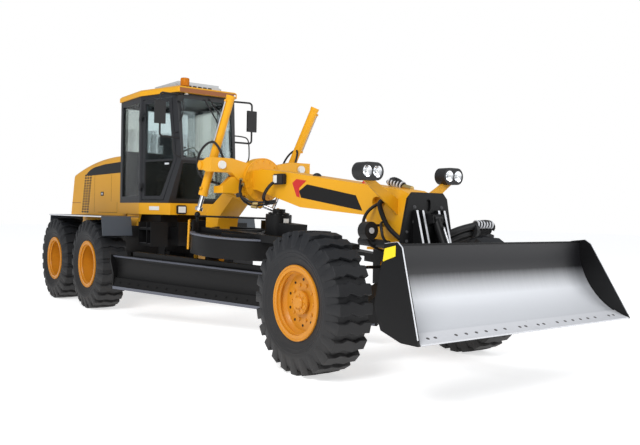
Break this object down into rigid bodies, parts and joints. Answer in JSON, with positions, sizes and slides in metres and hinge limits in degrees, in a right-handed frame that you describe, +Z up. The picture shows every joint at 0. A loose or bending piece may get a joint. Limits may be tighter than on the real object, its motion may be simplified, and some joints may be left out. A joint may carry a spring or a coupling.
{
  "type": "motor grader",
  "caption": "Articulated motor grader with a front dozer blade, turning circle and moldboard, leaning front wheels, cab with opening doors and a long engine hood.",
  "frame": {"origin": "on the ground, under the middle of the whole machine's bounding box", "axes": "+X forward along the machine, +Y to its left, +Z up"},
  "size_m": [10.18, 2.919, 3.45],
  "materials": {
    "paint_yellow": "semi-gloss",
    "paint_dark": "satin",
    "paint_black": "satin",
    "tyre": "matt",
    "glass": "clear",
    "chrome": "polished",
    "steel": "brushed",
    "plastic_black": "matt",
    "seat": "woven",
    "iron": "cast"
  },
  "bodies": {
    "rear": {"rear_frame": "paint_dark", "engine_block": "iron", "engine_hood": "paint_yellow", "engine_stacks": "paint_black", "cab_frame": "paint_dark", "cab_glass": "glass", "cab_base": "paint_yellow", "cab_roof": "paint_yellow", "cab_fittings": "plastic_black", "cab_interior": "seat", "fenders": "paint_dark", "tandem_drive": "paint_yellow"},
    "front": {"main_frame": "paint_yellow", "lift_saddle": "paint_yellow", "dozer_mast": "paint_black", "head_lamps": "plastic_black", "axle_beam": "paint_yellow"},
    "door_left": {"door_left": "paint_dark", "door_glass_left": "glass"},
    "door_right": {"door_right": "paint_dark", "door_glass_right": "glass"},
    "wheel_middle_left": {"tyre_middle_left": "tyre", "rim_middle_left": "paint_yellow"},
    "wheel_middle_right": {"tyre_middle_right": "tyre", "rim_middle_right": "paint_yellow"},
    "wheel_rear_left": {"tyre_rear_left": "tyre", "rim_rear_left": "paint_yellow"},
    "wheel_rear_right": {"tyre_rear_right": "tyre", "rim_rear_right": "paint_yellow"},
    "lean_right": {"lean_yoke_right": "paint_yellow"},
    "steer_right": {"knuckle_right": "iron"},
    "wheel_front_right": {"tyre_front_right": "tyre", "rim_front_right": "paint_yellow"},
    "lean_left": {"lean_yoke_left": "paint_yellow"},
    "steer_left": {"knuckle_left": "iron"},
    "wheel_front_left": {"tyre_front_left": "tyre", "rim_front_left": "paint_yellow"},
    "lean_bar": {"lean_bar": "paint_yellow"},
    "tie_rod_ball": {"tie_rod_ball": "steel"},
    "tie_rod": {"tie_rod": "paint_yellow"},
    "drawbar_ball": {"drawbar_ball": "steel"},
    "drawbar": {"drawbar": "paint_black"},
    "circle": {"circle": "paint_black", "circle_arms": "paint_black"},
    "tip": {"blade_carrier": "paint_black"},
    "blade": {"moldboard": "paint_black"},
    "trunnion_left": {"trunnion_left": "paint_yellow"},
    "lift_barrel_left": {"lift_barrel_left": "paint_yellow"},
    "lift_rod_left": {"lift_rod_left": "chrome"},
    "trunnion_right": {"trunnion_right": "paint_yellow"},
    "lift_barrel_right": {"lift_barrel_right": "paint_yellow"},
    "lift_rod_right": {"lift_rod_right": "chrome"},
    "shift_pin": {"shift_pin": "steel"},
    "shift_barrel": {"shift_barrel": "paint_yellow"},
    "shift_rod": {"shift_rod": "chrome"},
    "dozer_arms": {"dozer_arms": "paint_black"},
    "dozer": {"dozer_blade": "paint_black"},
    "dozer_barrel": {"dozer_barrel": "paint_black"},
    "dozer_rod": {"dozer_rod": "chrome"}
  },
  "joints": [
    {"name": "articulation", "type": "hinge", "parent": "rear", "child": "front", "pos_m": [-0.59, 0, 1], "axis": [0, 0, 1], "range_deg": [-27, 27]},
    {"name": "door_left_swing", "type": "hinge", "parent": "rear", "child": "door_left", "pos_m": [-1.508, 0.7056, 1.85], "axis": [0, 0, 1], "range_deg": [0, 85]},
    {"name": "door_right_swing", "type": "hinge", "parent": "rear", "child": "door_right", "pos_m": [-1.508, -0.7056, 1.85], "axis": [0, 0, -1], "range_deg": [0, 85]},
    {"name": "wheel_middle_left_spin", "type": "hinge", "parent": "rear", "child": "wheel_middle_left", "pos_m": [-2.121, 1.09, 0.675], "axis": [0, 1, 0], "continuous": true},
    {"name": "wheel_middle_right_spin", "type": "hinge", "parent": "rear", "child": "wheel_middle_right", "pos_m": [-2.121, -1.09, 0.675], "axis": [0, 1, 0], "continuous": true},
    {"name": "wheel_rear_left_spin", "type": "hinge", "parent": "rear", "child": "wheel_rear_left", "pos_m": [-3.659, 1.09, 0.675], "axis": [0, 1, 0], "continuous": true},
    {"name": "wheel_rear_right_spin", "type": "hinge", "parent": "rear", "child": "wheel_rear_right", "pos_m": [-3.659, -1.09, 0.675], "axis": [0, 1, 0], "continuous": true},
    {"name": "lean_right", "type": "hinge", "parent": "front", "child": "lean_right", "pos_m": [3.329, -0.79, 0.48], "axis": [1, 0, 0], "range_deg": [-17, 17]},
    {"name": "steer_right", "type": "hinge", "parent": "lean_right", "child": "steer_right", "pos_m": [3.329, -0.79, 0.675], "axis": [0, 0, -1], "range_deg": [-45, 45]},
    {"name": "wheel_front_right_spin", "type": "hinge", "parent": "steer_right", "child": "wheel_front_right", "pos_m": [3.329, -1.09, 0.675], "axis": [0, 1, 0], "continuous": true},
    {"name": "lean_left", "type": "hinge", "parent": "front", "child": "lean_left", "pos_m": [3.329, 0.79, 0.48], "axis": [1, 0, 0], "range_deg": [-17, 17]},
    {"name": "steer_left", "type": "hinge", "parent": "lean_left", "child": "steer_left", "pos_m": [3.329, 0.79, 0.675], "axis": [0, 0, -1], "range_deg": [-45, 45]},
    {"name": "wheel_front_left_spin", "type": "hinge", "parent": "steer_left", "child": "wheel_front_left", "pos_m": [3.329, 1.09, 0.675], "axis": [0, 1, 0], "continuous": true},
    {"name": "lean_bar_pin", "type": "hinge", "parent": "lean_right", "child": "lean_bar", "pos_m": [3.329, -0.79, 0.98], "axis": [1, 0, 0], "range_deg": [-17, 17]},
    {"name": "tie_rod_turn", "type": "hinge", "parent": "steer_right", "child": "tie_rod_ball", "pos_m": [3.089, -0.79, 0.715], "axis": [0, 0, -1], "range_deg": [-45, 45]},
    {"name": "tie_rod_tilt", "type": "hinge", "parent": "tie_rod_ball", "child": "tie_rod", "pos_m": [3.089, -0.79, 0.715], "axis": [1, 0, 0], "range_deg": [-17, 17]},
    {"name": "drawbar_shift", "type": "hinge", "parent": "front", "child": "drawbar_ball", "pos_m": [3.04, 0, 1.052], "axis": [0, 0, 1], "range_deg": [-8.7, 3.3]},
    {"name": "drawbar_lift", "type": "hinge", "parent": "drawbar_ball", "child": "drawbar", "pos_m": [3.04, 0, 1.052], "axis": [-0.0471, 0.9989, 0], "range_deg": [-6.5, 1]},
    {"name": "circle_turn", "type": "hinge", "parent": "drawbar", "child": "circle", "pos_m": [0.7107, -0.10985, 1.19054], "axis": [0.0592, 0.0028, 0.9982], "continuous": true},
    {"name": "blade_tip", "type": "hinge", "parent": "circle", "child": "tip", "pos_m": [0.79413, -0.35008, 0.44997], "axis": [0.8805, 0.4709, -0.0536], "range_deg": [-15, 20]},
    {"name": "blade_sideshift", "type": "slide", "parent": "tip", "child": "blade", "axis": [0.8805, 0.4709, -0.0536], "range_m": [-0.35, 0.35]},
    {"name": "trunnion_left_pitch", "type": "hinge", "parent": "front", "child": "trunnion_left", "pos_m": [0.5, 0.615, 2.1], "axis": [0, 1, 0], "range_deg": [-6.08, 0.94]},
    {"name": "lift_barrel_left_roll", "type": "hinge", "parent": "trunnion_left", "child": "lift_barrel_left", "pos_m": [0.5, 0.615, 2.1], "axis": [1, 0, 0], "range_deg": [-12.83, 33.83]},
    {"name": "lift_rod_left_slide", "type": "slide", "parent": "lift_barrel_left", "child": "lift_rod_left", "axis": [-0.3132, -0.2247, -0.9227], "range_m": [-0.0457, 0.297]},
    {"name": "trunnion_right_pitch", "type": "hinge", "parent": "front", "child": "trunnion_right", "pos_m": [0.5, -0.615, 2.1], "axis": [0, 1, 0], "range_deg": [-1.81, 0.28]},
    {"name": "lift_barrel_right_roll", "type": "hinge", "parent": "trunnion_right", "child": "lift_barrel_right", "pos_m": [0.5, -0.615, 2.1], "axis": [1, 0, 0], "range_deg": [-12.59, 33.18]},
    {"name": "lift_rod_right_slide", "type": "slide", "parent": "lift_barrel_right", "child": "lift_rod_right", "axis": [-0.2411, -0.1557, -0.9579], "range_m": [-0.0494, 0.3209]},
    {"name": "shift_pin_turn", "type": "hinge", "parent": "front", "child": "shift_pin", "pos_m": [0.583, -0.5, 1.795], "axis": [1, 0, 0], "range_deg": [-2.16, 5.69]},
    {"name": "shift_barrel_swing", "type": "hinge", "parent": "shift_pin", "child": "shift_barrel", "pos_m": [0.583, -0.5, 1.795], "axis": [1, 0, 0], "range_deg": [-14.96, 2.3]},
    {"name": "shift_rod_slide", "type": "slide", "parent": "shift_barrel", "child": "shift_rod", "axis": [-0.001, 0.9546, -0.2978], "range_m": [-0.14, 0.369]},
    {"name": "dozer_lift", "type": "hinge", "parent": "front", "child": "dozer_arms", "pos_m": [3.825, 0, 0.62], "axis": [0, 1, 0], "range_deg": [-8, 45]},
    {"name": "dozer_level", "type": "hinge", "parent": "dozer_arms", "child": "dozer", "pos_m": [4.53, 0, 0.75], "axis": [0, 1, 0], "range_deg": [-45, 8]},
    {"name": "dozer_barrel_swing", "type": "hinge", "parent": "front", "child": "dozer_barrel", "pos_m": [3.88, 0, 1.48], "axis": [0, 1, 0], "range_deg": [-1.6, 9]},
    {"name": "dozer_rod_slide", "type": "slide", "parent": "dozer_barrel", "child": "dozer_rod", "axis": [0.4258, 0, -0.9048], "range_m": [-0.0506, 0.2844]}
  ],
  "couplings": [
    {"joint": "lean_left", "follows": "lean_right", "ratio": 1},
    {"joint": "steer_left", "follows": "steer_right", "ratio": 1},
    {"joint": "lean_bar_pin", "follows": "lean_right", "ratio": -1},
    {"joint": "tie_rod_turn", "follows": "steer_right", "ratio": -1},
    {"joint": "tie_rod_tilt", "follows": "lean_right", "ratio": -1},
    {"joint": "trunnion_left_pitch", "follows": "drawbar_lift", "ratio": 0.936},
    {"joint": "lift_barrel_left_roll", "follows": "drawbar_shift", "ratio": -3.888},
    {"joint": "lift_rod_left_slide", "follows": "drawbar_lift", "m_per_rad": -2.618},
    {"joint": "trunnion_right_pitch", "follows": "drawbar_lift", "ratio": 0.278},
    {"joint": "lift_barrel_right_roll", "follows": "drawbar_shift", "ratio": -3.814},
    {"joint": "lift_rod_right_slide", "follows": "drawbar_lift", "m_per_rad": -2.829},
    {"joint": "shift_pin_turn", "follows": "drawbar_shift", "ratio": -0.654},
    {"joint": "shift_barrel_swing", "follows": "drawbar_lift", "ratio": 2.301},
    {"joint": "shift_rod_slide", "follows": "drawbar_shift", "m_per_rad": -2.43},
    {"joint": "dozer_level", "follows": "dozer_lift", "ratio": -1},
    {"joint": "dozer_barrel_swing", "follows": "dozer_lift", "ratio": 0.2},
    {"joint": "dozer_rod_slide", "follows": "dozer_lift", "m_per_rad": 0.36211}
  ]
}
